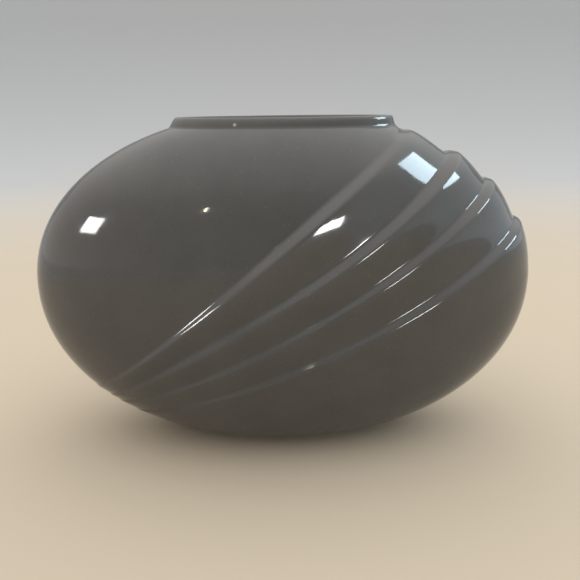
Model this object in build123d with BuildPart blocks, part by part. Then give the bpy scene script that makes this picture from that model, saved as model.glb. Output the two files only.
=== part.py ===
"""Pillow vase: a slip-cast vessel, flattened like a cushion, with four lapped pleats fanned across it.

Millimetres, +Z up, +X to the right of the front view, origin on the table under the middle of the foot.
"""

import os
from math import asin, cos, pi, radians, sin

from build123d import *

# Belly: a swelling oval, cut level for the foot and for the neck
belly_width = 240.0
belly_depth = 100.0
belly_height = 162.0
outline_fullness = 2.08
shoulder_fullness = 2.4
heel_fullness = 3.0
wall_thickness = 5.0

# Foot and floor
base_width = 93.0
foot_height = 2.0
foot_inset = 3.0
foot_rim = 7.0
foot_edge_radius = 0.6
heel_rim = 8.0
floor_thickness = 5.0

# Neck collar: flared at its foot, drawn in a little up to its rounded lip
neck_width = 104.0
collar_wall = 5.5
collar_height = 5.0
collar_flare = 1.1
collar_flare_height = 1.3
collar_taper = 0.7
lip_land = 0.8

# Fan: five lines from the lower left edge to the upper right edge, by their angles about the belly's centre.
# Four are the feet of the pleats, and the last is where the fourth pleat runs out into the belly.
fan_low_angles = (-37.5, -42.0, -44.5, -49.3, -54.6)
fan_high_angles = (64.6, 52.2, 39.5, 24.5, 8.0)
fan_bows = (1.2, -2.0, -5.1, -5.3, -6.0)
fan_sways = (-1.0, 1.7, 0.5, 0.7, 1.6)

# Pleat section: a steep riser, a rounded crest and a long fall, with runs in shares of the pleat's own width.
# Half way along, the crests stand out from the belly, and towards the edges the feet sink into it.
riser_shares = (0.19, 0.20, 0.14, 0.125)
riser_slope = 0.9
riser_ease = 0.3
crest_run_share = 0.22
fall_run_share = 0.3
edge_sink = 0.5
lap_share = 0.06

# Clay left in the wall behind the pleats
pleat_web = 1.8

# Smoothness of the lofts, and how far they run past the edges that trim them
belly_levels = 9
pleat_stations = 10
pleat_overrun = 0.06
fan_places = 9
fan_overrun = 0.08

belly_half_width = belly_width / 2
belly_half_depth = belly_depth / 2
belly_half_height = belly_height / 2
pleat_count = len(fan_low_angles) - 1
pleat_seat = wall_thickness - pleat_web
blank_depth = 2 * wall_thickness


def outline_rise(half_width):
    """Share of the belly's half height at which its outline has this half width."""
    return (1 - (half_width / belly_half_width) ** outline_fullness) ** (1 / outline_fullness)


floor_top_height = foot_height + floor_thickness
belly_centre_height = foot_height + belly_half_height * outline_rise(base_width / 2)
neck_plane_height = belly_centre_height + belly_half_height * outline_rise(neck_width / 2)
neck_column_height = neck_plane_height - belly_centre_height + collar_height


def belly_half_sizes(height, inset=0.0):
    """Half width and half depth of the belly at a height, outside or on a skin inset from it."""
    rise = abs(height - belly_centre_height) / (belly_half_height - inset)
    fullness = shoulder_fullness if height > belly_centre_height else heel_fullness
    half_width = (belly_half_width - inset) * (1 - rise**outline_fullness) ** (1 / outline_fullness)
    half_depth = (belly_half_depth - inset) * (1 - rise**fullness) ** 0.5
    return half_width, half_depth


base_half_width, base_half_depth = belly_half_sizes(foot_height)
neck_half_width, neck_half_depth = belly_half_sizes(neck_plane_height)


def front_half(low, high, inset=0.0):
    """Front half of the belly between two heights, lofted through half ovals."""
    span = belly_half_height - inset
    low_angle = asin((low - belly_centre_height) / span)
    high_angle = asin((high - belly_centre_height) / span)
    with BuildPart() as half:
        for level in range(belly_levels):
            angle = low_angle + (high_angle - low_angle) * level / (belly_levels - 1)
            height = belly_centre_height + span * sin(angle)
            half_width, half_depth = belly_half_sizes(height, inset)
            with BuildSketch(Plane.XY.offset(height)):
                with BuildLine():
                    rim = EllipticalCenterArc((0, 0), half_width, half_depth, 180, arc_size=180)
                    Line(rim @ 1, rim @ 0)
                make_face()
        loft()
    return half.part


def surface_point(across, height, side):
    """Point of the belly's outside at this place of the front view: side -1 in front, side 1 behind."""
    half_width, half_depth = belly_half_sizes(height)
    return Vector(across, side * half_depth * max(0.0, 1 - (across / half_width) ** 2) ** 0.5, height)


def surface_normal(point):
    """Outward normal of the belly at a point of its outside."""
    small_rise = 0.01
    half_width, half_depth = belly_half_sizes(point.Z)
    above_width, above_depth = belly_half_sizes(point.Z + small_rise)
    level_here = (point.X / half_width) ** 2 + (point.Y / half_depth) ** 2
    level_above = (point.X / above_width) ** 2 + (point.Y / above_depth) ** 2
    slope = (level_above - level_here) / small_rise
    return Vector(2 * point.X / half_width**2, 2 * point.Y / half_depth**2, slope).normalized()


def outline_point(angle, side):
    """Point of the outline at an angle about the belly's centre: side -1 on the left, side 1 on the right."""
    height = belly_centre_height + belly_half_height * sin(radians(angle))
    return Vector(side * belly_half_sizes(height)[0], 0, height)


def fan_place(line, share):
    """Place in the front view on a fan line, from its low edge at share 0 to its high edge at share 1."""
    low_end = outline_point(fan_low_angles[line], -1)
    chord = outline_point(fan_high_angles[line], 1) - low_end
    square = Vector(-chord.Z, 0, chord.X).normalized()
    bow = fan_bows[line] * sin(pi * share) + fan_sways[line] * sin(2 * pi * share)
    return low_end + chord * share + square * bow


def fan_side(travel):
    """Side of the belly that a fan line is on: in front for a travel from 0 to 1, behind past either edge."""
    return -1 if 0 <= travel <= 1 else 1


def fan_point(line, travel):
    """Point of the belly's outside on a fan line, evenly spaced round both edges."""
    place = fan_place(line, (1 - cos(pi * travel)) / 2)
    return surface_point(place.X, place.Z, fan_side(travel))


def riser_height(index, travel):
    """Height of a pleat's crest over its foot."""
    width = (fan_point(index + 1, travel) - fan_point(index, travel)).length
    return riser_slope * riser_shares[index] * width


def sunk_share(travel):
    """Share of a riser that lies under the belly's outside: none half way along, the most at the edges."""
    return edge_sink * (2 * travel - 1) ** 2


def foot_dip(line, travel):
    """Depth of a pleat's foot under the belly's outside. The first and the last line lie on the belly."""
    if line in (0, pleat_count):
        return 0.0
    return sunk_share(travel) * riser_height(line, travel)


def fan_prism(first_line, last_line):
    """Everything in front between two fan lines of the front view, past the outline at both ends."""
    shares = [(1 + 2 * fan_overrun) * place / (fan_places - 1) - fan_overrun for place in range(fan_places)]
    with BuildPart() as prism:
        with BuildSketch(Plane.XZ):
            with BuildLine():
                upper = Spline([(p.X, p.Z) for p in (fan_place(first_line, share) for share in shares)])
                lower = Spline([(p.X, p.Z) for p in (fan_place(last_line, share) for share in shares)])
                Line(upper @ 0, lower @ 0)
                Line(upper @ 1, lower @ 1)
            make_face()
        extrude(amount=belly_depth)
    return prism.part


def pleat_blank(index):
    """One pleat before it is trimmed: a steep riser, a rounded crest and a long fall to the next."""
    with BuildPart() as blank:
        for station in range(pleat_stations):
            travel = (1 + 2 * pleat_overrun) * station / (pleat_stations - 1) - pleat_overrun
            foot = fan_point(index, travel)
            across = fan_point(index + 1, travel) - foot
            width = across.length
            middle = foot + across / 2
            crown = surface_point(middle.X, middle.Z, fan_side(travel))
            normal = surface_normal(crown)
            facing = (normal - across * (normal.dot(across) / width**2)).normalized()
            swell = 4 * (crown - middle).dot(facing)

            def above_belly(share, lift):
                return (share * width, swell * share * (1 - share) + lift)

            riser_share = riser_shares[index]
            foot_lift = -foot_dip(index, travel)
            crest_lift = (1 - sunk_share(travel)) * riser_height(index, travel)
            end_lift = -foot_dip(index + 1, travel)
            riser_foot = above_belly(0, foot_lift)
            riser_low = above_belly(riser_share * riser_ease, foot_lift)
            riser_high = above_belly(riser_share * (1 - riser_ease), crest_lift)
            crest = above_belly(riser_share, crest_lift)
            crest_run = above_belly(riser_share + crest_run_share, crest_lift)
            fall_run = above_belly(1 - fall_run_share, end_lift)
            fall_end = above_belly(1, end_lift)
            near_side = above_belly(-lap_share, foot_lift)
            far_side = above_belly(1 + lap_share, end_lift)
            with BuildSketch(Plane(origin=foot, x_dir=across, z_dir=across.cross(facing))):
                with BuildLine():
                    Line(near_side, riser_foot)
                    Bezier(riser_foot, riser_low, riser_high, crest)
                    Bezier(crest, crest_run, fall_run, fall_end)
                    Line(fall_end, far_side)
                    Line(far_side, (far_side[0], -blank_depth))
                    Line((far_side[0], -blank_depth), (near_side[0], -blank_depth))
                    Line((near_side[0], -blank_depth), near_side)
                make_face()
        loft()
    return blank.part


def write_piece(piece, name):
    """Label a finished piece and write it under its name."""
    piece.part.label = name
    export_step(piece.part, f"parts/{name}.step")


os.makedirs("parts", exist_ok=True)

# Foot: the dry ring that the vase stands on
foot_half_width = base_half_width - foot_inset
foot_half_depth = base_half_depth - foot_inset
with BuildPart() as foot_ring:
    with BuildSketch():
        Ellipse(foot_half_width, foot_half_depth)
        Ellipse(foot_half_width - foot_rim, foot_half_depth - foot_rim, mode=Mode.SUBTRACT)
    extrude(amount=foot_height)
    fillet(foot_ring.edges().group_by(Axis.Z)[0], foot_edge_radius)
write_piece(foot_ring, "foot_ring")

# Floor: the oval plate of clay that closes the bottom
with BuildPart() as floor_plate:
    with BuildSketch(Plane.XY.offset(foot_height)):
        Ellipse(base_half_width - heel_rim, base_half_depth - heel_rim)
    extrude(amount=floor_thickness)
write_piece(floor_plate, "floor_plate")

# Mouth: the oval opening through the shoulder and the collar, and the column that the collar stands on
with BuildPart() as mouth:
    with BuildSketch(Plane.XY.offset(belly_centre_height)):
        Ellipse(neck_half_width - collar_wall, neck_half_depth - collar_wall)
    extrude(amount=neck_column_height)
with BuildPart() as neck_column:
    with BuildSketch(Plane.XY.offset(belly_centre_height)):
        Ellipse(neck_half_width, neck_half_depth)
    extrude(amount=neck_column_height)

# Bed: the shallow recess in the front for the pleats, from the seat at their backs outwards
pleat_back = front_half(floor_top_height, neck_plane_height - pleat_seat, pleat_seat)
with BuildPart() as pleat_bed:
    add(fan_prism(0, pleat_count))
    add(pleat_back, mode=Mode.SUBTRACT)
    add(neck_column.part, mode=Mode.SUBTRACT)

# Walls: the front half of the casting, and the rear half as its mirror image
with BuildPart() as front_wall:
    add(front_half(foot_height, neck_plane_height))
    add(front_half(floor_top_height, neck_plane_height - wall_thickness, wall_thickness), mode=Mode.SUBTRACT)
    add(mouth.part, mode=Mode.SUBTRACT)
    add(floor_plate.part, mode=Mode.SUBTRACT)
    add(pleat_bed.part, mode=Mode.SUBTRACT)
write_piece(front_wall, "front_wall")
with BuildPart() as rear_wall:
    mirror(front_wall.part, about=Plane.XZ)
write_piece(rear_wall, "rear_wall")

# Pleats: four bars side by side in the bed, each with its foot against the end of the one above it
for index in range(pleat_count):
    with BuildPart() as front_pleat:
        add(pleat_blank(index))
        add(fan_prism(index, index + 1), mode=Mode.INTERSECT)
        add(pleat_back, mode=Mode.SUBTRACT)
        add(neck_column.part, mode=Mode.SUBTRACT)
    write_piece(front_pleat, f"front_pleat_{index + 1}")
    with BuildPart() as rear_pleat:
        mirror(front_pleat.part, about=Plane.XZ)
    write_piece(rear_pleat, f"rear_pleat_{index + 1}")

# Collar: the low ring round the mouth, flared where it leaves the shoulder and rounded over at the lip
lip_inset = collar_flare + collar_taper
lip_radius = (collar_wall - lip_inset - lip_land) / 2
with BuildPart() as neck_collar:
    for height, inset in ((0, 0), (collar_flare_height, collar_flare), (collar_height, lip_inset)):
        with BuildSketch(Plane.XY.offset(neck_plane_height + height)):
            Ellipse(neck_half_width - inset, neck_half_depth - inset)
    loft()
    add(mouth.part, mode=Mode.SUBTRACT)
    fillet(neck_collar.edges().group_by(Axis.Z)[-1], lip_radius)
write_piece(neck_collar, "neck_collar")
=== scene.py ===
import math

import bpy
import numpy as np
from mathutils import Matrix, Vector


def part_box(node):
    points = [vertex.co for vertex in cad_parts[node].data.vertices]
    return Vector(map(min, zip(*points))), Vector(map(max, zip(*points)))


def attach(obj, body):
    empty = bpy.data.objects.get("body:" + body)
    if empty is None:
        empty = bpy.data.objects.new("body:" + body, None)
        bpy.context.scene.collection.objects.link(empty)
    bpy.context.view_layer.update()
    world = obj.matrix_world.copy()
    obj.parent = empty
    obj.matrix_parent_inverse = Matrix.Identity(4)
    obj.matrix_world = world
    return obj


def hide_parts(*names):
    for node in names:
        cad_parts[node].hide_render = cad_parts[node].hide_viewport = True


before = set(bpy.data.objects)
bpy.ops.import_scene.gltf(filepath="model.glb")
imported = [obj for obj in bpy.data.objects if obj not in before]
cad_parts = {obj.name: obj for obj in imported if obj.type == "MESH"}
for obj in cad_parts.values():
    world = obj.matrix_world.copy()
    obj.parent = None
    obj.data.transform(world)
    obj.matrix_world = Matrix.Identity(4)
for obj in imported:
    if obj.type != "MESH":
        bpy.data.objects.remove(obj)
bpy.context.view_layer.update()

# Foot ring
# The dry oval ring that the vase stands on. It is the casting clay itself, trimmed level on the mould and
# wiped free of glaze before the last firing, so it stays pale and matt.
foot_low, foot_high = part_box("foot_ring")
foot_rim = 0.007
foot_edge_radius = 0.0006
ring_steps = 288
sharp_angle = math.radians(38)
clay_tones = ((0.3, (0.50, 0.44, 0.36, 1)), (0.7, (0.66, 0.60, 0.52, 1)))


def start_form(name, size_names):
    """A new tree whose inputs are a pattern, its named sizes and a finish."""
    tree = bpy.data.node_groups.new(name, "GeometryNodeTree")
    tree.interface.new_socket("Pattern", in_out="INPUT", socket_type="NodeSocketGeometry")
    for size_name in size_names:
        tree.interface.new_socket(size_name, in_out="INPUT", socket_type="NodeSocketFloat")
    tree.interface.new_socket("Finish", in_out="INPUT", socket_type="NodeSocketMaterial")
    tree.interface.new_socket("Piece", in_out="OUTPUT", socket_type="NodeSocketGeometry")
    return tree, tree.nodes.new("NodeGroupInput").outputs


def put(tree, socket, value):
    """Link a value to a socket, or set the socket if the value is a plain number or text."""
    if isinstance(value, bpy.types.NodeSocket):
        tree.links.new(value, socket)
    else:
        socket.default_value = value


def reckon(tree, operation, *values):
    """One step of arithmetic on fields or numbers."""
    node = tree.nodes.new("ShaderNodeMath")
    node.operation = operation
    for socket, value in zip(node.inputs, values):
        put(tree, socket, value)
    return node.outputs[0]


def carried(tree, name):
    """A number that each point of the pattern carries."""
    node = tree.nodes.new("GeometryNodeInputNamedAttribute")
    node.data_type = "FLOAT"
    node.inputs["Name"].default_value = name
    return node.outputs["Attribute"]


def pattern_place(tree):
    """The three coordinates of each point of the pattern."""
    place = tree.nodes.new("GeometryNodeInputPosition")
    split = tree.nodes.new("ShaderNodeSeparateXYZ")
    tree.links.new(place.outputs[0], split.inputs[0])
    return split.outputs


def move_points(tree, geometry, socket_name, x, y, z):
    """Put each point at a new place, or push it by an offset."""
    join = tree.nodes.new("ShaderNodeCombineXYZ")
    for socket, value in zip(join.inputs, (x, y, z)):
        put(tree, socket, value)
    move = tree.nodes.new("GeometryNodeSetPosition")
    tree.links.new(geometry, move.inputs["Geometry"])
    tree.links.new(join.outputs[0], move.inputs[socket_name])
    return move.outputs[0]


def end_form(tree, geometry, finish):
    """Close a tree: real geometry, with its finish on it."""
    real = tree.nodes.new("GeometryNodeRealizeInstances")
    coat = tree.nodes.new("GeometryNodeSetMaterial")
    result = tree.nodes.new("NodeGroupOutput")
    tree.links.new(geometry, real.inputs[0])
    tree.links.new(real.outputs[0], coat.inputs["Geometry"])
    tree.links.new(finish, coat.inputs["Material"])
    tree.links.new(coat.outputs[0], result.inputs[0])
    return tree


def formed(name, points, faces, carries, tree, sizes):
    """The plain mesh that a tree makes of a pattern at the given sizes."""
    pattern = bpy.data.meshes.new(name)
    pattern.from_pydata(points.reshape(-1, 3).tolist(), [], faces)
    for carry, values in carries.items():
        layer = pattern.attributes.new(carry, "FLOAT", "POINT")
        layer.data.foreach_set("value", np.ascontiguousarray(values, dtype=np.float32).ravel())
    holder = bpy.data.objects.new(name, pattern)
    bpy.context.scene.collection.objects.link(holder)
    modifier = holder.modifiers.new("form", "NODES")
    modifier.node_group = tree
    for item in tree.interface.items_tree:
        if item.in_out == "INPUT" and item.name in sizes:
            modifier[item.identifier] = sizes[item.name]
    graph = bpy.context.evaluated_depsgraph_get()
    mesh = bpy.data.meshes.new_from_object(holder.evaluated_get(graph))
    holder.modifiers.remove(modifier)
    bpy.data.objects.remove(holder)
    return mesh


def signed_volume(mesh):
    """Volume of a closed mesh, below zero where its faces point inwards."""
    mesh.calc_loop_triangles()
    corners = np.zeros(len(mesh.loop_triangles) * 3, np.int32)
    mesh.loop_triangles.foreach_get("vertices", corners)
    places = np.zeros(len(mesh.vertices) * 3)
    mesh.vertices.foreach_get("co", places)
    a, b, c = places.reshape(-1, 3)[corners.reshape(-1, 3)].transpose(1, 0, 2)
    return np.einsum("ij,ij->i", a, np.cross(b, c)).sum() / 6


def shown(name, mesh, slot, *nodes):
    """Put a finished closed mesh on show in place of its solids, with its faces outwards."""
    if signed_volume(mesh) < 0:
        mesh.flip_normals()
    mesh.polygons.foreach_set("use_smooth", np.ones(len(mesh.polygons), bool))
    mesh.set_sharp_from_angle(angle=sharp_angle)
    piece = bpy.data.objects.new(name, mesh)
    bpy.context.scene.collection.objects.link(piece)
    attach(piece, "root")
    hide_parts(*nodes)
    return piece


def oval_form():
    """Rule of every oval ring: a round pattern spread to two half sizes less an inset, and raised."""
    tree, inputs = start_form("oval_form", ("Half width", "Half depth"))
    x, y, _ = pattern_place(tree)
    inset = carried(tree, "inset")
    wide = reckon(tree, "MULTIPLY", x, reckon(tree, "SUBTRACT", inputs["Half width"], inset))
    deep = reckon(tree, "MULTIPLY", y, reckon(tree, "SUBTRACT", inputs["Half depth"], inset))
    placed = move_points(tree, inputs["Pattern"], "Position", wide, deep, carried(tree, "rise"))
    return end_form(tree, placed, inputs["Finish"])


def ring_pattern(rows, closed):
    """Round rows of points joined into bands, with the last row joined to the first if closed."""
    turn = np.arange(ring_steps) * 2 * math.pi / ring_steps
    circle = np.stack([np.cos(turn), np.sin(turn), np.zeros(ring_steps)], axis=1)
    points = np.repeat(circle[None], rows, axis=0)
    bands = rows if closed else rows - 1
    faces = []
    for row in range(bands):
        here, there = row * ring_steps, (row + 1) % rows * ring_steps
        for step in range(ring_steps):
            after = (step + 1) % ring_steps
            faces.append((here + step, here + after, there + after, there + step))
    return points, faces


def arc(centre, radius, first, last, steps=7):
    """Points of a ring's profile on an arc between two angles, as pairs of inset and rise."""
    turns = np.radians(np.linspace(first, last, steps))
    return [(centre[0] + radius * math.cos(a), centre[1] + radius * math.sin(a)) for a in turns]


def bare_clay():
    """Fired clay without glaze: pale buff, dry, with fine grog and a few rubbed marks."""
    material = bpy.data.materials.new("bare_clay")
    material.use_nodes = True
    tree = material.node_tree
    clay = tree.nodes["Principled BSDF"]
    clay.inputs["Roughness"].default_value = 0.85
    place = tree.nodes.new("ShaderNodeTexCoord")
    tone = tree.nodes.new("ShaderNodeTexNoise")
    tone.inputs["Scale"].default_value = 90
    tone.inputs["Detail"].default_value = 5
    ramp = tree.nodes.new("ShaderNodeValToRGB")
    for element, (position, colour) in zip(ramp.color_ramp.elements, clay_tones):
        element.position = position
        element.color = colour
    grog = tree.nodes.new("ShaderNodeTexNoise")
    grog.inputs["Scale"].default_value = 2200
    bump = tree.nodes.new("ShaderNodeBump")
    bump.inputs["Strength"].default_value = 0.35
    bump.inputs["Distance"].default_value = 0.0003
    tree.links.new(place.outputs["Object"], tone.inputs["Vector"])
    tree.links.new(place.outputs["Object"], grog.inputs["Vector"])
    tree.links.new(tone.outputs["Fac"], ramp.inputs["Fac"])
    tree.links.new(ramp.outputs["Color"], clay.inputs["Base Color"])
    tree.links.new(grog.outputs["Fac"], bump.inputs["Height"])
    tree.links.new(bump.outputs["Normal"], clay.inputs["Normal"])
    return material


oval = oval_form()
clay = bare_clay()
foot_height = foot_high.z - foot_low.z
foot_profile = [(0, foot_height)]
foot_profile += arc((foot_edge_radius, foot_edge_radius), foot_edge_radius, 180, 270)
foot_profile += arc((foot_rim - foot_edge_radius, foot_edge_radius), foot_edge_radius, 270, 360)
foot_profile += [(foot_rim, foot_height)]
foot_points, foot_faces = ring_pattern(len(foot_profile), closed=True)
foot_insets = np.repeat([inset for inset, rise in foot_profile], ring_steps)
foot_rises = np.repeat([rise for inset, rise in foot_profile], ring_steps)
foot_mesh = formed(
    "foot_ring_pattern", foot_points, foot_faces, {"inset": foot_insets, "rise": foot_rises}, oval,
    {"Half width": foot_high.x, "Half depth": foot_high.y, "Finish": clay},
)
shown("foot_ring_dry", foot_mesh, "bare_clay", "foot_ring")

# Floor
# The oval of clay that closes the bottom, cast in one with the walls. It is a little thinner in the middle,
# so both its faces are slightly hollow, and the glaze on it is as grey and glossy as outside.
floor_low, floor_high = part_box("floor_plate")
floor_sag = 0.0006
floor_rows = 12
floor_eye_share = 0.02
dark_cloud = (0.064, 0.0622, 0.0588, 1)
pale_cloud = (0.0725, 0.0704, 0.0665, 1)
thinned_glaze = (0.112, 0.108, 0.102, 1)
dark_speck_colour = (0.030, 0.029, 0.027, 1)
pale_speck_colour = (0.17, 0.165, 0.155, 1)
cells_left_plain = 0.66
chip_place = (-0.0206, -0.0193, 0.1530)
chip_radius = 0.0009
chip_colour = (0.46, 0.42, 0.36, 1)


def grey_glaze():
    """Gloss grey glaze: clouded grey, lighter where it thins, with fine dark and pale specks and one chip."""
    material = bpy.data.materials.new("grey_glaze")
    material.use_nodes = True
    tree = material.node_tree
    glaze = tree.nodes["Principled BSDF"]
    glaze.inputs["IOR"].default_value = 1.5
    place = tree.nodes.new("ShaderNodeTexCoord")

    def noise(scale, detail):
        node = tree.nodes.new("ShaderNodeTexNoise")
        node.inputs["Scale"].default_value = scale
        node.inputs["Detail"].default_value = detail
        tree.links.new(place.outputs["Object"], node.inputs["Vector"])
        return node.outputs["Fac"]

    def spread(value, from_low, from_high, to_low, to_high):
        node = tree.nodes.new("ShaderNodeMapRange")
        node.inputs["From Min"].default_value = from_low
        node.inputs["From Max"].default_value = from_high
        node.inputs["To Min"].default_value = to_low
        node.inputs["To Max"].default_value = to_high
        tree.links.new(value, node.inputs["Value"])
        return node.outputs[0]

    def blend(share, first, second):
        node = tree.nodes.new("ShaderNodeMix")
        node.data_type = "RGBA"
        tree.links.new(share, node.inputs["Factor"])
        put(tree, node.inputs["A"], first)
        put(tree, node.inputs["B"], second)
        return node.outputs["Result"]

    # Clouded grey of the melt, and the thinner, lighter coat on the crests
    clouding = spread(noise(scale=45, detail=3), from_low=0.35, from_high=0.65, to_low=0, to_high=1)
    clouds = blend(clouding, dark_cloud, pale_cloud)
    coat = tree.nodes.new("ShaderNodeAttribute")
    coat.attribute_name = "thin_coat"
    thinned = blend(coat.outputs["Fac"], clouds, thinned_glaze)

    # Specks: one in a small cell, kept in a third of the cells, dark ones and a few larger pale ones
    def specks(scale, core, edge, strength):
        cells = tree.nodes.new("ShaderNodeTexVoronoi")
        cells.inputs["Scale"].default_value = scale
        tree.links.new(place.outputs["Object"], cells.inputs["Vector"])
        chance = tree.nodes.new("ShaderNodeSeparateColor")
        tree.links.new(cells.outputs["Color"], chance.inputs[0])
        kept = reckon(tree, "GREATER_THAN", chance.outputs[0], cells_left_plain)
        return reckon(tree, "MULTIPLY", spread(cells.outputs["Distance"], core, edge, strength, 0), kept)

    dark_speck = specks(scale=900, core=0.08, edge=0.30, strength=0.45)
    pale_speck = specks(scale=520, core=0.05, edge=0.20, strength=0.35)
    dark_specked = blend(dark_speck, thinned, dark_speck_colour)
    specked = blend(pale_speck, dark_specked, pale_speck_colour)

    # Chip: a spot on the collar where the glaze is knocked off and the clay shows
    apart = tree.nodes.new("ShaderNodeVectorMath")
    apart.operation = "DISTANCE"
    tree.links.new(place.outputs["Object"], apart.inputs[0])
    apart.inputs[1].default_value = chip_place
    chipped = spread(apart.outputs["Value"], chip_radius / 2, chip_radius, to_low=0.8, to_high=0)
    tree.links.new(blend(chipped, specked, chip_colour), glaze.inputs["Base Color"])

    # Gloss: slightly uneven, with a faint orange peel and a dimple at each dark speck
    gloss = spread(noise(scale=160, detail=2), from_low=0.3, from_high=0.7, to_low=0.05, to_high=0.10)
    tree.links.new(gloss, glaze.inputs["Roughness"])
    peel = tree.nodes.new("ShaderNodeBump")
    peel.inputs["Strength"].default_value = 0.015
    peel.inputs["Distance"].default_value = 0.0004
    tree.links.new(noise(scale=210, detail=2), peel.inputs["Height"])
    dimple = tree.nodes.new("ShaderNodeBump")
    dimple.invert = True
    dimple.inputs["Strength"].default_value = 0.04
    dimple.inputs["Distance"].default_value = 0.0002
    tree.links.new(dark_speck, dimple.inputs["Height"])
    tree.links.new(peel.outputs["Normal"], dimple.inputs["Normal"])
    tree.links.new(dimple.outputs["Normal"], glaze.inputs["Normal"])
    return material


glaze = grey_glaze()
floor_shares = np.linspace(floor_eye_share, 1, floor_rows)
floor_sizes = np.concatenate([floor_shares, floor_shares[::-1]])
sag = floor_sag * (1 - floor_shares**2)
floor_rises = np.concatenate([floor_high.z - sag, (floor_low.z + sag)[::-1]])
floor_points, floor_faces = ring_pattern(len(floor_sizes), closed=False)
floor_points = floor_points * floor_sizes[:, None, None]
floor_faces.append(tuple(range(ring_steps))[::-1])
floor_faces.append(tuple(range((len(floor_sizes) - 1) * ring_steps, len(floor_sizes) * ring_steps)))
floor_mesh = formed(
    "floor_plate_pattern", floor_points, floor_faces,
    {"inset": np.zeros(floor_points.shape[:2]), "rise": np.repeat(floor_rises, ring_steps)}, oval,
    {"Half width": floor_high.x, "Half depth": floor_high.y, "Finish": glaze},
)
shown("floor_glazed", floor_mesh, "grey_glaze", "floor_plate")

# Belly walls
# The front and rear halves of the casting, one from each half of the plaster mould, meeting at the edge of
# the vase. Each is a clay wall of even thickness, hollowed where the pleats lie on it, glazed inside and out.
wall_low, wall_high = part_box("front_wall")
belly_half_width = 0.120
belly_half_depth = 0.050
belly_half_height = 0.081
outline_fullness = 2.08
shoulder_fullness = 2.4
heel_fullness = 3.0
wall_thickness = 0.005
pleat_seat = 0.0032
base_half_width = 0.0465
collar_wall = 0.0055
base_rise = -((1 - (base_half_width / belly_half_width) ** outline_fullness) ** (1 / outline_fullness))
belly_centre = wall_low.z - belly_half_height * base_rise
neck_rise = (wall_high.z - belly_centre) / belly_half_height

# Fan: five lines from the lower left edge to the upper right edge, by the angles of their ends on a ball
fan_low_angles = (-37.5, -42.0, -44.5, -49.3, -54.6)
fan_high_angles = (64.6, 52.2, 39.5, 24.5, 8.0)
fan_bows = (0.0012, -0.0020, -0.0051, -0.0053, -0.0060)
fan_sways = (-0.0010, 0.0017, 0.0005, 0.0007, 0.0016)
pleat_count = len(fan_bows) - 1
fan_columns = 361
travel = np.linspace(0, 1, fan_columns)


def belly_form():
    """Rule of the belly: a ball pattern swelled to a full oval, with a relief pushed out of it."""
    size_names = (
        "Half width", "Half depth", "Half height", "Centre height", "Outline fullness", "Shoulder fullness",
        "Heel fullness", "Inset", "Relief",
    )
    tree, inputs = start_form("belly_form", size_names)
    x, y, z = pattern_place(tree)
    rise = reckon(tree, "ABSOLUTE", z)
    girth = reckon(tree, "SQRT", reckon(tree, "SUBTRACT", 1.0, reckon(tree, "MULTIPLY", z, z)))

    def swell(fullness, power):
        left = reckon(tree, "SUBTRACT", 1.0, reckon(tree, "POWER", rise, fullness))
        return reckon(tree, "DIVIDE", reckon(tree, "POWER", left, power), girth)

    def less_inset(size):
        return reckon(tree, "SUBTRACT", inputs[size], inputs["Inset"])

    outline = swell(inputs["Outline fullness"], reckon(tree, "DIVIDE", 1.0, inputs["Outline fullness"]))
    above = reckon(tree, "GREATER_THAN", z, 0.0)
    extra = reckon(tree, "SUBTRACT", inputs["Shoulder fullness"], inputs["Heel fullness"])
    flank = swell(reckon(tree, "MULTIPLY_ADD", above, extra, inputs["Heel fullness"]), 0.5)
    wide = reckon(tree, "MULTIPLY", x, reckon(tree, "MULTIPLY", outline, less_inset("Half width")))
    deep = reckon(tree, "MULTIPLY", y, reckon(tree, "MULTIPLY", flank, less_inset("Half depth")))
    high = reckon(tree, "MULTIPLY_ADD", z, less_inset("Half height"), inputs["Centre height"])
    swelled = move_points(tree, inputs["Pattern"], "Position", wide, deep, high)
    push = reckon(tree, "MULTIPLY", carried(tree, "lift"), inputs["Relief"])
    facing = tree.nodes.new("GeometryNodeInputNormal")
    split = tree.nodes.new("ShaderNodeSeparateXYZ")
    tree.links.new(facing.outputs[0], split.inputs[0])
    pushes = [reckon(tree, "MULTIPLY", side, push) for side in split.outputs]
    pushed = move_points(tree, swelled, "Offset", *pushes)
    return end_form(tree, pushed, inputs["Finish"])


def outline_share(rise):
    """Half width of the outline at a rise from -1 to 1, as a share of the belly's half width."""
    return (1 - np.abs(rise) ** outline_fullness) ** (1 / outline_fullness)


def fan_line(line):
    """A fan line on the front of the ball pattern, from its low left end to its high right end."""
    low_rise, high_rise = (math.sin(math.radians(a[line])) for a in (fan_low_angles, fan_high_angles))
    low = np.array([-belly_half_width * outline_share(low_rise), belly_half_height * low_rise])
    high = np.array([belly_half_width * outline_share(high_rise), belly_half_height * high_rise])
    share = (1 - np.cos(math.pi * travel)) / 2
    square = np.array([low[1] - high[1], high[0] - low[0]]) / np.linalg.norm(high - low)
    bow = fan_bows[line] * np.sin(math.pi * share) + fan_sways[line] * np.sin(2 * math.pi * share)
    place = low + np.outer(share, high - low) + np.outer(bow, square)
    rise = place[:, 1] / belly_half_height
    girth = np.sqrt(1 - rise**2)
    across = np.clip(place[:, 0] / (belly_half_width * outline_share(rise)), -1, 1)
    return np.stack([across * girth, -np.sqrt(1 - across**2) * girth, rise], axis=1)


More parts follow.
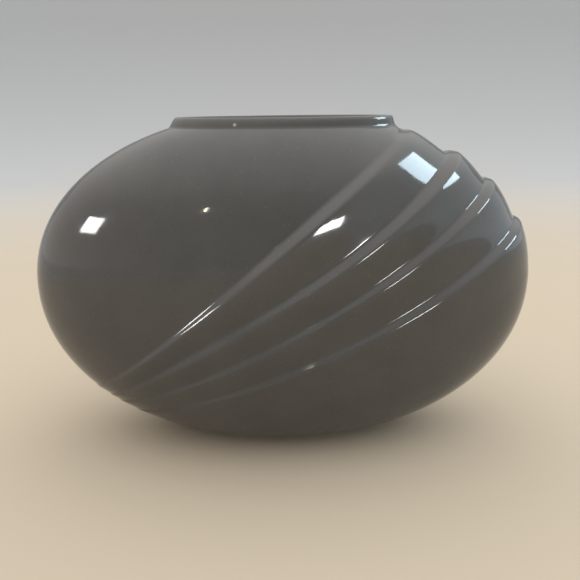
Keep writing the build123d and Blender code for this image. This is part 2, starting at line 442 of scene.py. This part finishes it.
def edge_line(left_angle, cut_rise, right_angle, left_column, right_column):
    """A line on the ball pattern along its left edge, the front of a level cut and its right edge."""
    cut_angle = math.degrees(math.asin(cut_rise))
    left = np.radians(np.linspace(left_angle, cut_angle, left_column + 1))
    right = np.radians(np.linspace(cut_angle, right_angle, fan_columns - right_column))
    turn = np.linspace(math.pi, 2 * math.pi, right_column - left_column + 1)
    girth = math.cos(math.radians(cut_angle))
    cut = np.stack([girth * np.cos(turn), girth * np.sin(turn), np.full(len(turn), cut_rise)], axis=1)
    cut[[0, -1], 1] = 0
    climb = [np.stack([s * np.cos(a), 0 * a, np.sin(a)], axis=1) for s, a in ((-1, left), (1, right))]
    return np.concatenate([climb[0][:-1], cut, climb[1][1:]])


def between(first, second, shares, nearest=1e-6):
    """Lines of the ball pattern spread from one line to another along its great circles."""
    angle = np.arccos(np.clip(np.sum(first * second, axis=1), -1, 1))[None, :, None]
    shares = np.asarray(shares)[:, None, None]
    safe = np.maximum(np.sin(angle), nearest)
    arcs = (np.sin((1 - shares) * angle) * first + np.sin(shares * angle) * second) / safe
    return np.where(angle < nearest, first[None], arcs)


neck_columns = (185, 335)
base_columns = (46, 190)
upper_rows, upper_crowding = 62, 1.5
lower_rows, lower_crowding = 46, 1.25
upper_shares = 1 - (1 - np.linspace(0, 1, upper_rows)) ** upper_crowding
lower_shares = np.linspace(0, 1, lower_rows) ** lower_crowding

# Rows of a pleat by stretches of its width, from, to and how many: close at foot and crest, wide on the fall
pleat_stretches = ((0, 0.06, 9), (0.06, 0.10, 4), (0.10, 0.28, 19), (0.28, 0.9, 14), (0.9, 1, 11))
stretched = [np.linspace(start, end, rows) for start, end, rows in pleat_stretches]
pleat_shares = np.unique(np.round(np.concatenate(stretched), 6))
lines = [fan_line(line) for line in range(pleat_count + 1)]
top_edge = edge_line(fan_low_angles[0], neck_rise, fan_high_angles[0], *neck_columns)
low_edge = edge_line(fan_low_angles[-1], base_rise, fan_high_angles[-1], *base_columns)
pattern_rows = [between(top_edge, lines[0], upper_shares)]
for index in range(pleat_count):
    pattern_rows.append(between(lines[index], lines[index + 1], pleat_shares)[1:])
pattern_rows.append(between(lines[-1], low_edge, lower_shares)[1:])
ball = np.concatenate(pattern_rows)
row_count = len(ball)
first_row = len(upper_shares) - 1
pleat_rows = [first_row + index * (len(pleat_shares) - 1) for index in range(pleat_count + 1)]
ball_faces = []
for row in range(row_count - 1):
    for column in range(fan_columns - 1):
        corner = row * fan_columns + column
        ball_faces.append((corner, corner + fan_columns, corner + fan_columns + 1, corner + 1))
belly = belly_form()


def belly_skin(lift, inset, relief):
    """The front of the belly as rows and columns of points, inset from its outside or with its relief."""
    sizes = {
        "Half width": belly_half_width, "Half depth": belly_half_depth, "Half height": belly_half_height,
        "Centre height": belly_centre, "Outline fullness": outline_fullness,
        "Shoulder fullness": shoulder_fullness, "Heel fullness": heel_fullness, "Inset": inset,
        "Relief": relief, "Finish": glaze,
    }
    mesh = formed("belly_pattern", ball, ball_faces, {"lift": lift}, belly, sizes)
    places = np.zeros(len(mesh.vertices) * 3)
    mesh.vertices.foreach_get("co", places)
    skin = places.reshape(row_count, fan_columns, 3)
    skin[ball[..., 1] == 0, 1] = 0
    return skin


# Pleat section, in shares of the pleat's own width: a steep riser with a rounded foot and crest, then a
# long fall. Half way along, the crests stand out from the belly, and towards the edges the feet sink into
# it. The risers are steepest right of the middle, lower at the right ends and softer at the left ones.
riser_shares = (0.19, 0.20, 0.14, 0.125)
riser_slope = 0.9
low_end_slopes = (0.30, 0.20, 0.20, 0.20)
full_slope_travels = (0.55, 0.62, 0.62, 0.62)
high_end_travel = 0.85
high_end_shares = (0.5, 0.8, 0.8, 0.8)
low_edge_sink = 0.5
high_edge_sink = 0.75
first_dip_reach = 0.010
foot_round = 0.24
crest_round = 0.27
low_end_round = 0.52
soft_travel = 0.65
fall_ease = 0.5
crest_thin_coat = 0.2
crest_coat_power = 3
micron = 1e-6


def rounded_over(level, line, size):
    """The higher of two heights, with the corner between them rounded."""
    return np.maximum(level, line) + np.maximum(size - np.abs(level - line), 0) ** 2 / (4 * size)


def rounded_under(level, line, size):
    """The lower of two heights, with the corner between them rounded."""
    return np.minimum(level, line) - np.maximum(size - np.abs(level - line), 0) ** 2 / (4 * size)


def eased(share):
    """A share from 0 to 1 that starts and ends gently."""
    share = np.clip(share, 0, 1)
    return share**2 * (3 - 2 * share)


def pleat_lift(skin):
    """Height of the relief over the plain belly, row by row."""
    lift = np.zeros((row_count, fan_columns))
    rails = [skin[row] for row in pleat_rows]
    widths = [np.linalg.norm(rails[i + 1] - rails[i], axis=1) for i in range(pleat_count)]
    ending = eased((travel - high_end_travel) / (1 - high_end_travel))
    rises = []
    for index, width in enumerate(widths):
        climb = eased(travel / full_slope_travels[index])
        slope = low_end_slopes[index] + (riser_slope - low_end_slopes[index]) * climb
        end_share = 1 - (1 - high_end_shares[index]) * ending
        rises.append(slope * end_share * riser_shares[index] * width)
    firm = eased(travel / soft_travel)
    foot_rounds = low_end_round + (foot_round - low_end_round) * firm
    crest_rounds = low_end_round + (crest_round - low_end_round) * firm
    sink = np.where(travel < 0.5, low_edge_sink, high_edge_sink) * (2 * travel - 1) ** 2
    crests = [rise * (1 - sink) for rise in rises]
    dips = [rises[0] * sink * ending, *[rise * sink for rise in rises[1:]], 0 * sink]

    def foot_rise(index, across):
        height = crests[index] + dips[index]
        return rounded_over(0, across * height / (riser_shares[index] * widths[index]), foot_rounds * height)

    for index in range(pleat_count):
        rows = slice(pleat_rows[index], pleat_rows[index + 1] + 1)
        share = pleat_shares[:, None]
        fall = np.clip((share - riser_shares[index]) / (1 - riser_shares[index]), 0, 1)
        drop = fall + fall_ease * (eased(fall) - fall)
        along = crests[index] - (crests[index] + dips[index + 1]) * drop
        riser = foot_rise(index, share * widths[index]) - dips[index]
        lift[rows] = rounded_under(riser, along, crest_rounds * (crests[index] + dips[index]))
        if index + 1 < pleat_count:
            lift[rows] += foot_rise(index + 1, (share - 1) * widths[index])
    apart = np.linalg.norm(skin[:first_row] - rails[0], axis=2)
    lift[:first_row] = foot_rise(0, -apart) - dips[0] * eased(1 - apart / first_dip_reach)
    return lift


plain_skin = belly_skin(np.zeros(ball.shape[:2]), 0.0, 0.0)
lift = pleat_lift(plain_skin)
outer_skin = belly_skin(lift, 0.0, 1.0)
seat_skin = belly_skin(lift, pleat_seat, 0.0)
inner_skin = belly_skin(lift, wall_thickness, 0.0)


def skin_facing(skin, least_length=1e-12):
    """Outward normals of the front of the belly, level with the parting line on the vase's edge."""
    facing = np.cross(np.gradient(skin, axis=1), np.gradient(skin, axis=0))
    for column in (0, -1):
        facing[:first_row, column] = facing[first_row, column]
        facing[pleat_rows[-1] + 1:, column] = facing[pleat_rows[-1], column]
    facing[ball[..., 1] == 0, 1] = 0
    facing /= np.maximum(np.linalg.norm(facing, axis=2, keepdims=True), least_length)
    outwards = np.sign(np.sum(facing * (skin - (0, 0, belly_centre)), axis=2, keepdims=True))
    return facing * outwards


facing = skin_facing(outer_skin)
crest_share = np.clip(lift / np.maximum(lift.max(axis=0), micron), 0, 1)
thin_coat = crest_share**crest_coat_power * crest_thin_coat


def border_of(rows, columns):
    """Rows and columns of the border of a grid, once round."""
    top = [(0, column) for column in range(columns)]
    right = [(row, columns - 1) for row in range(1, rows)]
    low = [(rows - 1, column) for column in range(columns - 2, -1, -1)]
    left = [(row, 0) for row in range(rows - 2, 0, -1)]
    return np.array(top + right + low + left)


def closed_mesh(name, outer, inner, rims, side, skin_rows, weld=1e-7):
    """A closed mesh between two grids of the front, or of the rear as its mirror image."""
    rows, columns = outer.shape[:2]
    border = border_of(rows, columns)
    points = np.concatenate([outer.reshape(-1, 3), inner.reshape(-1, 3), *rims])
    points = points * (1, -side, 1)
    keys = np.round(points / weld).astype(np.int64)
    first, back = np.unique(keys, axis=0, return_index=True, return_inverse=True)[1:]
    back = back.ravel()
    grid = np.arange(rows * columns).reshape(rows, columns)
    quads = np.stack([grid[:-1, :-1], grid[:-1, 1:], grid[1:, 1:], grid[1:, :-1]], axis=-1).reshape(-1, 4)
    inside = quads[:, ::-1] + rows * columns
    edge = grid[border[:, 0], border[:, 1]]
    rings = [edge]
    for number in range(len(rims)):
        rings.append(2 * rows * columns + number * len(edge) + np.arange(len(edge)))
    rings.append(edge + rows * columns)
    strips = [
        np.stack([np.roll(a, -1), a, b, np.roll(b, -1)], axis=1) for a, b in zip(rings[:-1], rings[1:])
    ]
    faces, on_skin = [], []
    showing = np.isin(quads // columns, skin_rows).all(axis=1)
    flags = np.concatenate([showing, np.zeros(len(inside) + sum(map(len, strips)), bool)])
    for quad, flag in zip(back[np.concatenate([quads, inside, *strips])].tolist(), flags.tolist()):
        corners = list(dict.fromkeys(quad))
        if len(corners) > 2:
            faces.append(corners)
            on_skin.append(flag)
    mesh = bpy.data.meshes.new(name)
    mesh.from_pydata(points[first].tolist(), [], faces)
    mesh.materials.append(glaze)
    return mesh, first, on_skin


def smooth_skin(mesh, first, on_skin, normals, coat, side):
    """Give the outside the normals of the whole vase, so that no joint between pieces shows in its gloss."""
    grid_points = normals.reshape(-1, 3).shape[0]
    picked = np.where(first < grid_points, first, 0)
    vertex_normals = normals.reshape(-1, 3)[picked] * (1, -side, 1)
    layer = mesh.attributes.new("thin_coat", "FLOAT", "POINT")
    values = np.where(first < grid_points, coat.ravel()[picked], 0)
    layer.data.foreach_set("value", values.astype(np.float32))
    corner_normals = np.zeros((len(mesh.loops), 3))
    corner_points = np.zeros(len(mesh.loops), np.int32)
    mesh.loops.foreach_get("vertex_index", corner_points)
    sizes = np.zeros(len(mesh.polygons), np.int32)
    mesh.polygons.foreach_get("loop_total", sizes)
    chosen = np.repeat(np.array(on_skin), sizes)
    corner_normals[chosen] = vertex_normals[corner_points[chosen]]
    mesh.normals_split_custom_set(corner_normals.tolist())


seat_row_step = 12
wall_rows = np.concatenate([
    np.arange(first_row + 1), np.arange(pleat_rows[0], pleat_rows[-1], seat_row_step), [pleat_rows[-1]],
    np.arange(pleat_rows[-1], row_count),
])
seat_from = first_row + 1
seat_to = len(wall_rows) - (row_count - pleat_rows[-1])
wall_outer = outer_skin[wall_rows]
wall_outer[seat_from:seat_to] = seat_skin[wall_rows[seat_from:seat_to]]
wall_inner = inner_skin[wall_rows]
wall_border = border_of(len(wall_rows), fan_columns)
skin_rows = np.concatenate([np.arange(seat_from), np.arange(seat_to, len(wall_rows))])
neck_half_depth = -plain_skin[0, :, 1].min()
neck_half_width = plain_skin[0, neck_columns[1], 0]
mouth_half = np.array([neck_half_width - collar_wall, neck_half_depth - collar_wall])
floor_half = np.array([floor_high.x, floor_high.y])


def wall_rims():
    """Two rings of points round the wall's border: the mouth's edge above, the floor's seat below."""
    outside = wall_outer[wall_border[:, 0], wall_border[:, 1]]
    inside = wall_inner[wall_border[:, 0], wall_border[:, 1]]
    rims = [outside + (inside - outside) * share for share in (1 / 3, 2 / 3)]
    cuts = (
        (0, neck_columns, neck_rise, mouth_half, (wall_high.z, wall_high.z - wall_thickness)),
        (len(wall_rows) - 1, base_columns, base_rise, floor_half, (floor_low.z, floor_high.z)),
    )
    for row, columns, rise, half, heights in cuts:
        on_cut = (wall_border[:, 1] >= columns[0]) & (wall_border[:, 1] <= columns[1])
        level = (wall_border[:, 0] == row) & on_cut
        pattern = ball[wall_rows[row], wall_border[level, 1]] / math.sqrt(1 - rise**2)
        for rim, height in zip(rims, heights):
            rim[level, :2] = pattern[:, :2] * half
            rim[level, 2] = height
    return rims


for side, half in ((-1, "front"), (1, "rear")):
    mesh, first, on_skin = closed_mesh(
        f"{half}_wall_mesh", wall_outer, wall_inner, wall_rims(), side, skin_rows,
    )
    wall = shown(f"{half}_wall_glazed", mesh, "grey_glaze", f"{half}_wall")
    smooth_skin(wall.data, first, on_skin, facing[wall_rows], thin_coat[wall_rows], side)

# Pleats
# Four lapped folds that fan across each half from the lower left edge to the upper right one, moulded in
# the casting. Each has a steep riser and a rounded crest, where the glaze thins, and falls to the next.
all_rows = np.arange(len(pleat_shares))
for side, half in ((-1, "front"), (1, "rear")):
    for index in range(pleat_count):
        rows = slice(pleat_rows[index], pleat_rows[index + 1] + 1)
        name = f"{half}_pleat_{index + 1}"
        mesh, first, on_skin = closed_mesh(
            f"{name}_mesh", outer_skin[rows], seat_skin[rows], [], side, all_rows,
        )
        pleat = shown(f"{name}_glazed", mesh, "grey_glaze", name)
        smooth_skin(pleat.data, first, on_skin, facing[rows], thin_coat[rows], side)

# Neck collar
# The low oval ring round the mouth, cast with the walls and fettled by hand. It is drawn in to a lip that is
# tight on the right and rounder on the left. It runs out into the shoulder in a cove, which is widest at the
# right end.
collar_low, collar_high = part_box("neck_collar")
collar_height = collar_high.z - collar_low.z
tight_face = ((0.0012, 0.0016), (0.0015, 0.0034), (0.0017, 0.0049), (0.0031, 0.0049))
round_face = ((0.0008, 0.0010), (0.0019, 0.0030), (0.0029, 0.0046), (0.0040, 0.0046))
lip_radius = 0.0013
lip_thin_coat = 0.45
lip_coat_power = 1.5
inner_wall_rises = (0.0018, 0.0009, 0.0)
cove_reach = 0.0009
cove_extra = 0.0033
cove_climb = 0.0008
cove_turn = 0.40
cove_sink = 0.00015
cove_steps, face_steps, lip_steps = 16, 24, 10

turn = np.arange(ring_steps) * 2 * math.pi / ring_steps
turn_from_right = np.abs((turn + math.pi) % (2 * math.pi) - math.pi)
right_end = np.exp(-((turn_from_right / cove_turn) ** 2))
reach = cove_reach + cove_extra * right_end
roundness = (1 - np.cos(turn)) / 2


def shoulder_height(x, y, lowest=0.5, highest=0.999, halvings=40):
    """Height of the shoulder over a place in plan, found by halving."""
    low, high = np.full(x.shape, lowest), np.full(x.shape, highest)
    for _ in range(halvings):
        rise = (low + high) / 2
        wide = belly_half_width * outline_share(rise)
        deep = belly_half_depth * np.sqrt(1 - rise**shoulder_fullness)
        inside = (x / wide) ** 2 + (y / deep) ** 2 < 1
        low, high = np.where(inside, rise, low), np.where(inside, high, rise)
    return belly_centre + belly_half_height * low


def relief_height(x, y):
    """Height of the relief over the plain shoulder at places in plan, from the nearest points of the skin."""
    shoulder = plain_skin[..., 2] > belly_centre + belly_half_height / 2
    places = plain_skin[shoulder][:, :2]
    heights = (outer_skin - plain_skin)[shoulder][:, 2]
    return np.array([heights[np.argmin(np.sum((places - (a, -abs(b))) ** 2, axis=1))] for a, b in zip(x, y)])


def curve(points, steps):
    """Points on a curve drawn by its handles, as insets and rises round the ring."""
    share = np.linspace(0, 1, steps)[:, None, None]
    while len(points) > 1:
        points = [a + (b - a) * share for a, b in zip(points[:-1], points[1:])]
    return points[0]


def level_ring(inset, rise):
    """One row of the collar at the same inset and rise all round."""
    return np.stack([np.full(ring_steps, inset), np.full(ring_steps, rise)])


cove_place = (neck_half_width + reach) * np.cos(turn), (neck_half_depth + reach) * np.sin(turn)
cove_rise = shoulder_height(*cove_place) + relief_height(*cove_place) - collar_low.z
cove_foot = np.stack([-reach, cove_rise - cove_sink])
face_handles = []
for tight, rounder in zip(tight_face, round_face):
    face_handles.append(np.outer(tight, 1 - roundness) + np.outer(rounder, roundness))
face_handles[0][1] += cove_climb * right_end
face_start = face_handles[1] - face_handles[0]
cove_corner = face_handles[0] - face_start * (face_handles[0][1] - cove_rise / 2) / face_start[1]
cove = curve([cove_foot, cove_corner, face_handles[0]], cove_steps)
face = curve(face_handles, face_steps)
lip_top = face_handles[-1][1]
lip_in = arc((collar_wall - lip_radius, -lip_radius), lip_radius, 90, 0, lip_steps)
lip = np.array([np.stack([np.full(ring_steps, inset), lip_top + drop]) for inset, drop in lip_in])
inner_wall = np.array([level_ring(collar_wall, rise) for rise in inner_wall_rises])
under = np.array([level_ring(collar_wall / 2, 0.0), level_ring(0.0, -2 * cove_sink)])
collar_rows = np.concatenate([cove, face[1:], lip, inner_wall, under])
collar_coat = lip_thin_coat * np.clip(collar_rows[:, 1] / collar_height, 0, 1) ** lip_coat_power
collar_points, collar_faces = ring_pattern(len(collar_rows), closed=True)
collar_mesh = formed(
    "neck_collar_pattern", collar_points, collar_faces,
    {"inset": collar_rows[:, 0], "rise": collar_rows[:, 1] + collar_low.z, "thin_coat": collar_coat}, oval,
    {"Half width": neck_half_width, "Half depth": neck_half_depth, "Finish": glaze},
)
shown("neck_collar_glazed", collar_mesh, "grey_glaze", "neck_collar")

# Studio floor and backdrop
# A plain pale sheet, level under the vase and curved up behind it. It is a little warmer close to the vase
# than far from it.
sheet_reach = 1.6
sheet_back = 0.9
sheet_curve = 0.35
sheet_rise = 0.6
sheet_near = 0.25
sheet_far = 1.3
sheet_near_colour = (0.57, 0.485, 0.375, 1)
sheet_far_colour = (0.53, 0.54, 0.55, 1)
bend_steps = 24
bend = np.linspace(0, math.pi / 2, bend_steps)
sheet_profile = [(-sheet_reach, 0.0)]
sheet_profile += [(sheet_back + sheet_curve * math.sin(a), sheet_curve * (1 - math.cos(a))) for a in bend]
sheet_profile += [(sheet_back + sheet_curve, sheet_rise)]
sheet_points = [(x, y, z) for y, z in sheet_profile for x in (-sheet_reach, sheet_reach)]
sheet_faces = [(2 * i, 2 * i + 1, 2 * i + 3, 2 * i + 2) for i in range(len(sheet_profile) - 1)]
sheet_mesh = bpy.data.meshes.new("studio_sheet")
sheet_mesh.from_pydata(sheet_points, [], sheet_faces)
sheet_mesh.polygons.foreach_set("use_smooth", np.ones(len(sheet_faces), bool))
studio_sheet = bpy.data.objects.new("studio_sheet", sheet_mesh)
bpy.context.scene.collection.objects.link(studio_sheet)
sheet_material = bpy.data.materials.new("studio_sheet")
sheet_material.use_nodes = True
sheet_shader = sheet_material.node_tree.nodes["Principled BSDF"]
sheet_shader.inputs["Roughness"].default_value = 0.8
sheet_shader.inputs["Specular IOR Level"].default_value = 0.1
sheet_tree = sheet_material.node_tree
sheet_place = sheet_tree.nodes.new("ShaderNodeTexCoord")
sheet_distance = sheet_tree.nodes.new("ShaderNodeVectorMath")
sheet_distance.operation = "LENGTH"
sheet_fade = sheet_tree.nodes.new("ShaderNodeMapRange")
sheet_fade.interpolation_type = "SMOOTHSTEP"
put(sheet_tree, sheet_fade.inputs["From Min"], sheet_near)
put(sheet_tree, sheet_fade.inputs["From Max"], sheet_far)
sheet_tint = sheet_tree.nodes.new("ShaderNodeMix")
sheet_tint.data_type = "RGBA"
put(sheet_tree, sheet_tint.inputs["A"], sheet_near_colour)
put(sheet_tree, sheet_tint.inputs["B"], sheet_far_colour)
sheet_tree.links.new(sheet_place.outputs["Object"], sheet_distance.inputs[0])
sheet_tree.links.new(sheet_distance.outputs["Value"], sheet_fade.inputs["Value"])
sheet_tree.links.new(sheet_fade.outputs[0], sheet_tint.inputs["Factor"])
sheet_tree.links.new(sheet_tint.outputs["Result"], sheet_shader.inputs["Base Color"])
sheet_mesh.materials.append(sheet_material)

# Studio light
# A soft sky, brightest above the vase and to its right, and panel lamps to both sides of the viewer, which
# show in the gloss alone.
sky_lean = 0.15
sky_steps = ((0.0, 0.54), (0.4, 0.58), (0.64, 0.98), (0.89, 1.45), (1.0, 1.75))
right_lift = 1.6
left_lift = 0.9
middle_tint = (1.0, 0.99, 0.97, 1)
right_tint = (0.82, 0.93, 1.0, 1)
left_tint = (1.0, 0.94, 0.89, 1)
world = bpy.data.worlds.new("studio_sky")
bpy.context.scene.world = world
world.use_nodes = True
sky = world.node_tree
backdrop = sky.nodes["Background"]
direction = sky.nodes.new("ShaderNodeTexCoord")
toward = sky.nodes.new("ShaderNodeSeparateXYZ")
sky.links.new(direction.outputs["Generated"], toward.inputs[0])
leaning = reckon(sky, "MULTIPLY_ADD", toward.outputs["Y"], sky_lean, toward.outputs["Z"])
along = reckon(sky, "DIVIDE", leaning, math.hypot(1, sky_lean))
rightward = reckon(sky, "MAXIMUM", toward.outputs["X"], 0.0)
to_right = reckon(sky, "MULTIPLY", rightward, rightward)
leftward = reckon(sky, "MINIMUM", toward.outputs["X"], 0.0)
to_left = reckon(sky, "MULTIPLY", leftward, leftward)
steps = sky.nodes.new("ShaderNodeFloatCurve")
steps.mapping.extend = "HORIZONTAL"
sky_curve = steps.mapping.curves[0]
sky_peak = max(level for rise, level in sky_steps)
for point, (rise, level) in zip(sky_curve.points, (sky_steps[0], sky_steps[-1])):
    point.location = (rise, level / sky_peak)
for rise, level in sky_steps[1:-1]:
    sky_curve.points.new(rise, level / sky_peak)
steps.mapping.update()
sky.links.new(along, steps.inputs["Value"])
level = reckon(sky, "MULTIPLY", steps.outputs["Value"], sky_peak)
left_side = reckon(sky, "MULTIPLY_ADD", to_left, left_lift, 1.0)
sides = reckon(sky, "MULTIPLY_ADD", to_right, right_lift, left_side)
sky.links.new(reckon(sky, "MULTIPLY", level, sides), backdrop.inputs["Strength"])
sky_tint = middle_tint
for share, side_tint in ((to_right, right_tint), (to_left, left_tint)):
    tint = sky.nodes.new("ShaderNodeMix")
    tint.data_type = "RGBA"
    put(sky, tint.inputs["Factor"], share)
    put(sky, tint.inputs["A"], sky_tint)
    put(sky, tint.inputs["B"], side_tint)
    sky_tint = tint.outputs["Result"]
sky.links.new(sky_tint, backdrop.inputs["Color"])
lamp_distance = 1.5


def lamp(name, spot, azimuth, elevation, wide, tall, brightness, colour):
    """A panel lamp, placed and sized by the angles at which a spot of the vase sees it."""
    turn, climb = math.radians(azimuth), math.radians(elevation)
    away = Vector((math.sin(turn) * math.cos(climb), -math.cos(turn) * math.cos(climb), math.sin(climb)))
    light = bpy.data.lights.new(name, "AREA")
    light.shape = "RECTANGLE"
    light.size = 2 * lamp_distance * math.tan(math.radians(wide) / 2)
    light.size_y = 2 * lamp_distance * math.tan(math.radians(tall) / 2)
    light.energy = brightness * math.pi * light.size * light.size_y
    light.color = colour
    holder = bpy.data.objects.new(name, light)
    holder.location = Vector(spot) + lamp_distance * away
    holder.rotation_euler = (-away).to_track_quat("-Z", "Y").to_euler()
    holder.visible_diffuse = False
    bpy.context.scene.collection.objects.link(holder)


lamp(
    "left_panel", spot=(-0.082, -0.030, 0.113), azimuth=-72, elevation=18.5, wide=11.5, tall=8.5,
    brightness=25, colour=(1.0, 0.99, 0.97),
)
lamp(
    "warm_bulb", spot=(-0.032, -0.042, 0.121), azimuth=-25, elevation=29, wide=0.9, tall=2.4,
    brightness=42, colour=(1.0, 0.95, 0.68),
)
lamp(
    "front_panel", spot=(0.022, -0.045, 0.113), azimuth=26.8, elevation=0.5, wide=13.5, tall=8.5,
    brightness=44, colour=(0.97, 0.99, 1.0),
)
lamp(
    "right_panel", spot=(0.056, -0.026, 0.137), azimuth=88.8, elevation=31, wide=23.3, tall=17,
    brightness=15, colour=(0.69, 0.88, 1.0),
)

# Camera
# A hand-held view from close in front, just over the height of the mouth and tilted down to the belly.
view_place = (-0.00237, -0.27623, 0.16290)
view_tilt = math.radians(18.108)
view_yaw = math.radians(1.054)
view_roll = math.radians(0.466)
view_lens = 36.077
view_sensor = 36.0
camera_data = bpy.data.cameras.new("front_view")
camera_data.sensor_width = view_sensor
camera_data.lens = view_lens
camera_data.clip_start = 0.01
camera = bpy.data.objects.new("front_view", camera_data)
turned = Matrix.Rotation(-view_yaw, 4, "Z") @ Matrix.Rotation(math.pi / 2 - view_tilt, 4, "X")
camera.matrix_world = Matrix.Translation(view_place) @ turned @ Matrix.Rotation(-view_roll, 4, "Z")
bpy.context.scene.collection.objects.link(camera)
bpy.context.scene.camera = camera
bpy.context.scene.view_settings.view_transform = "Standard"
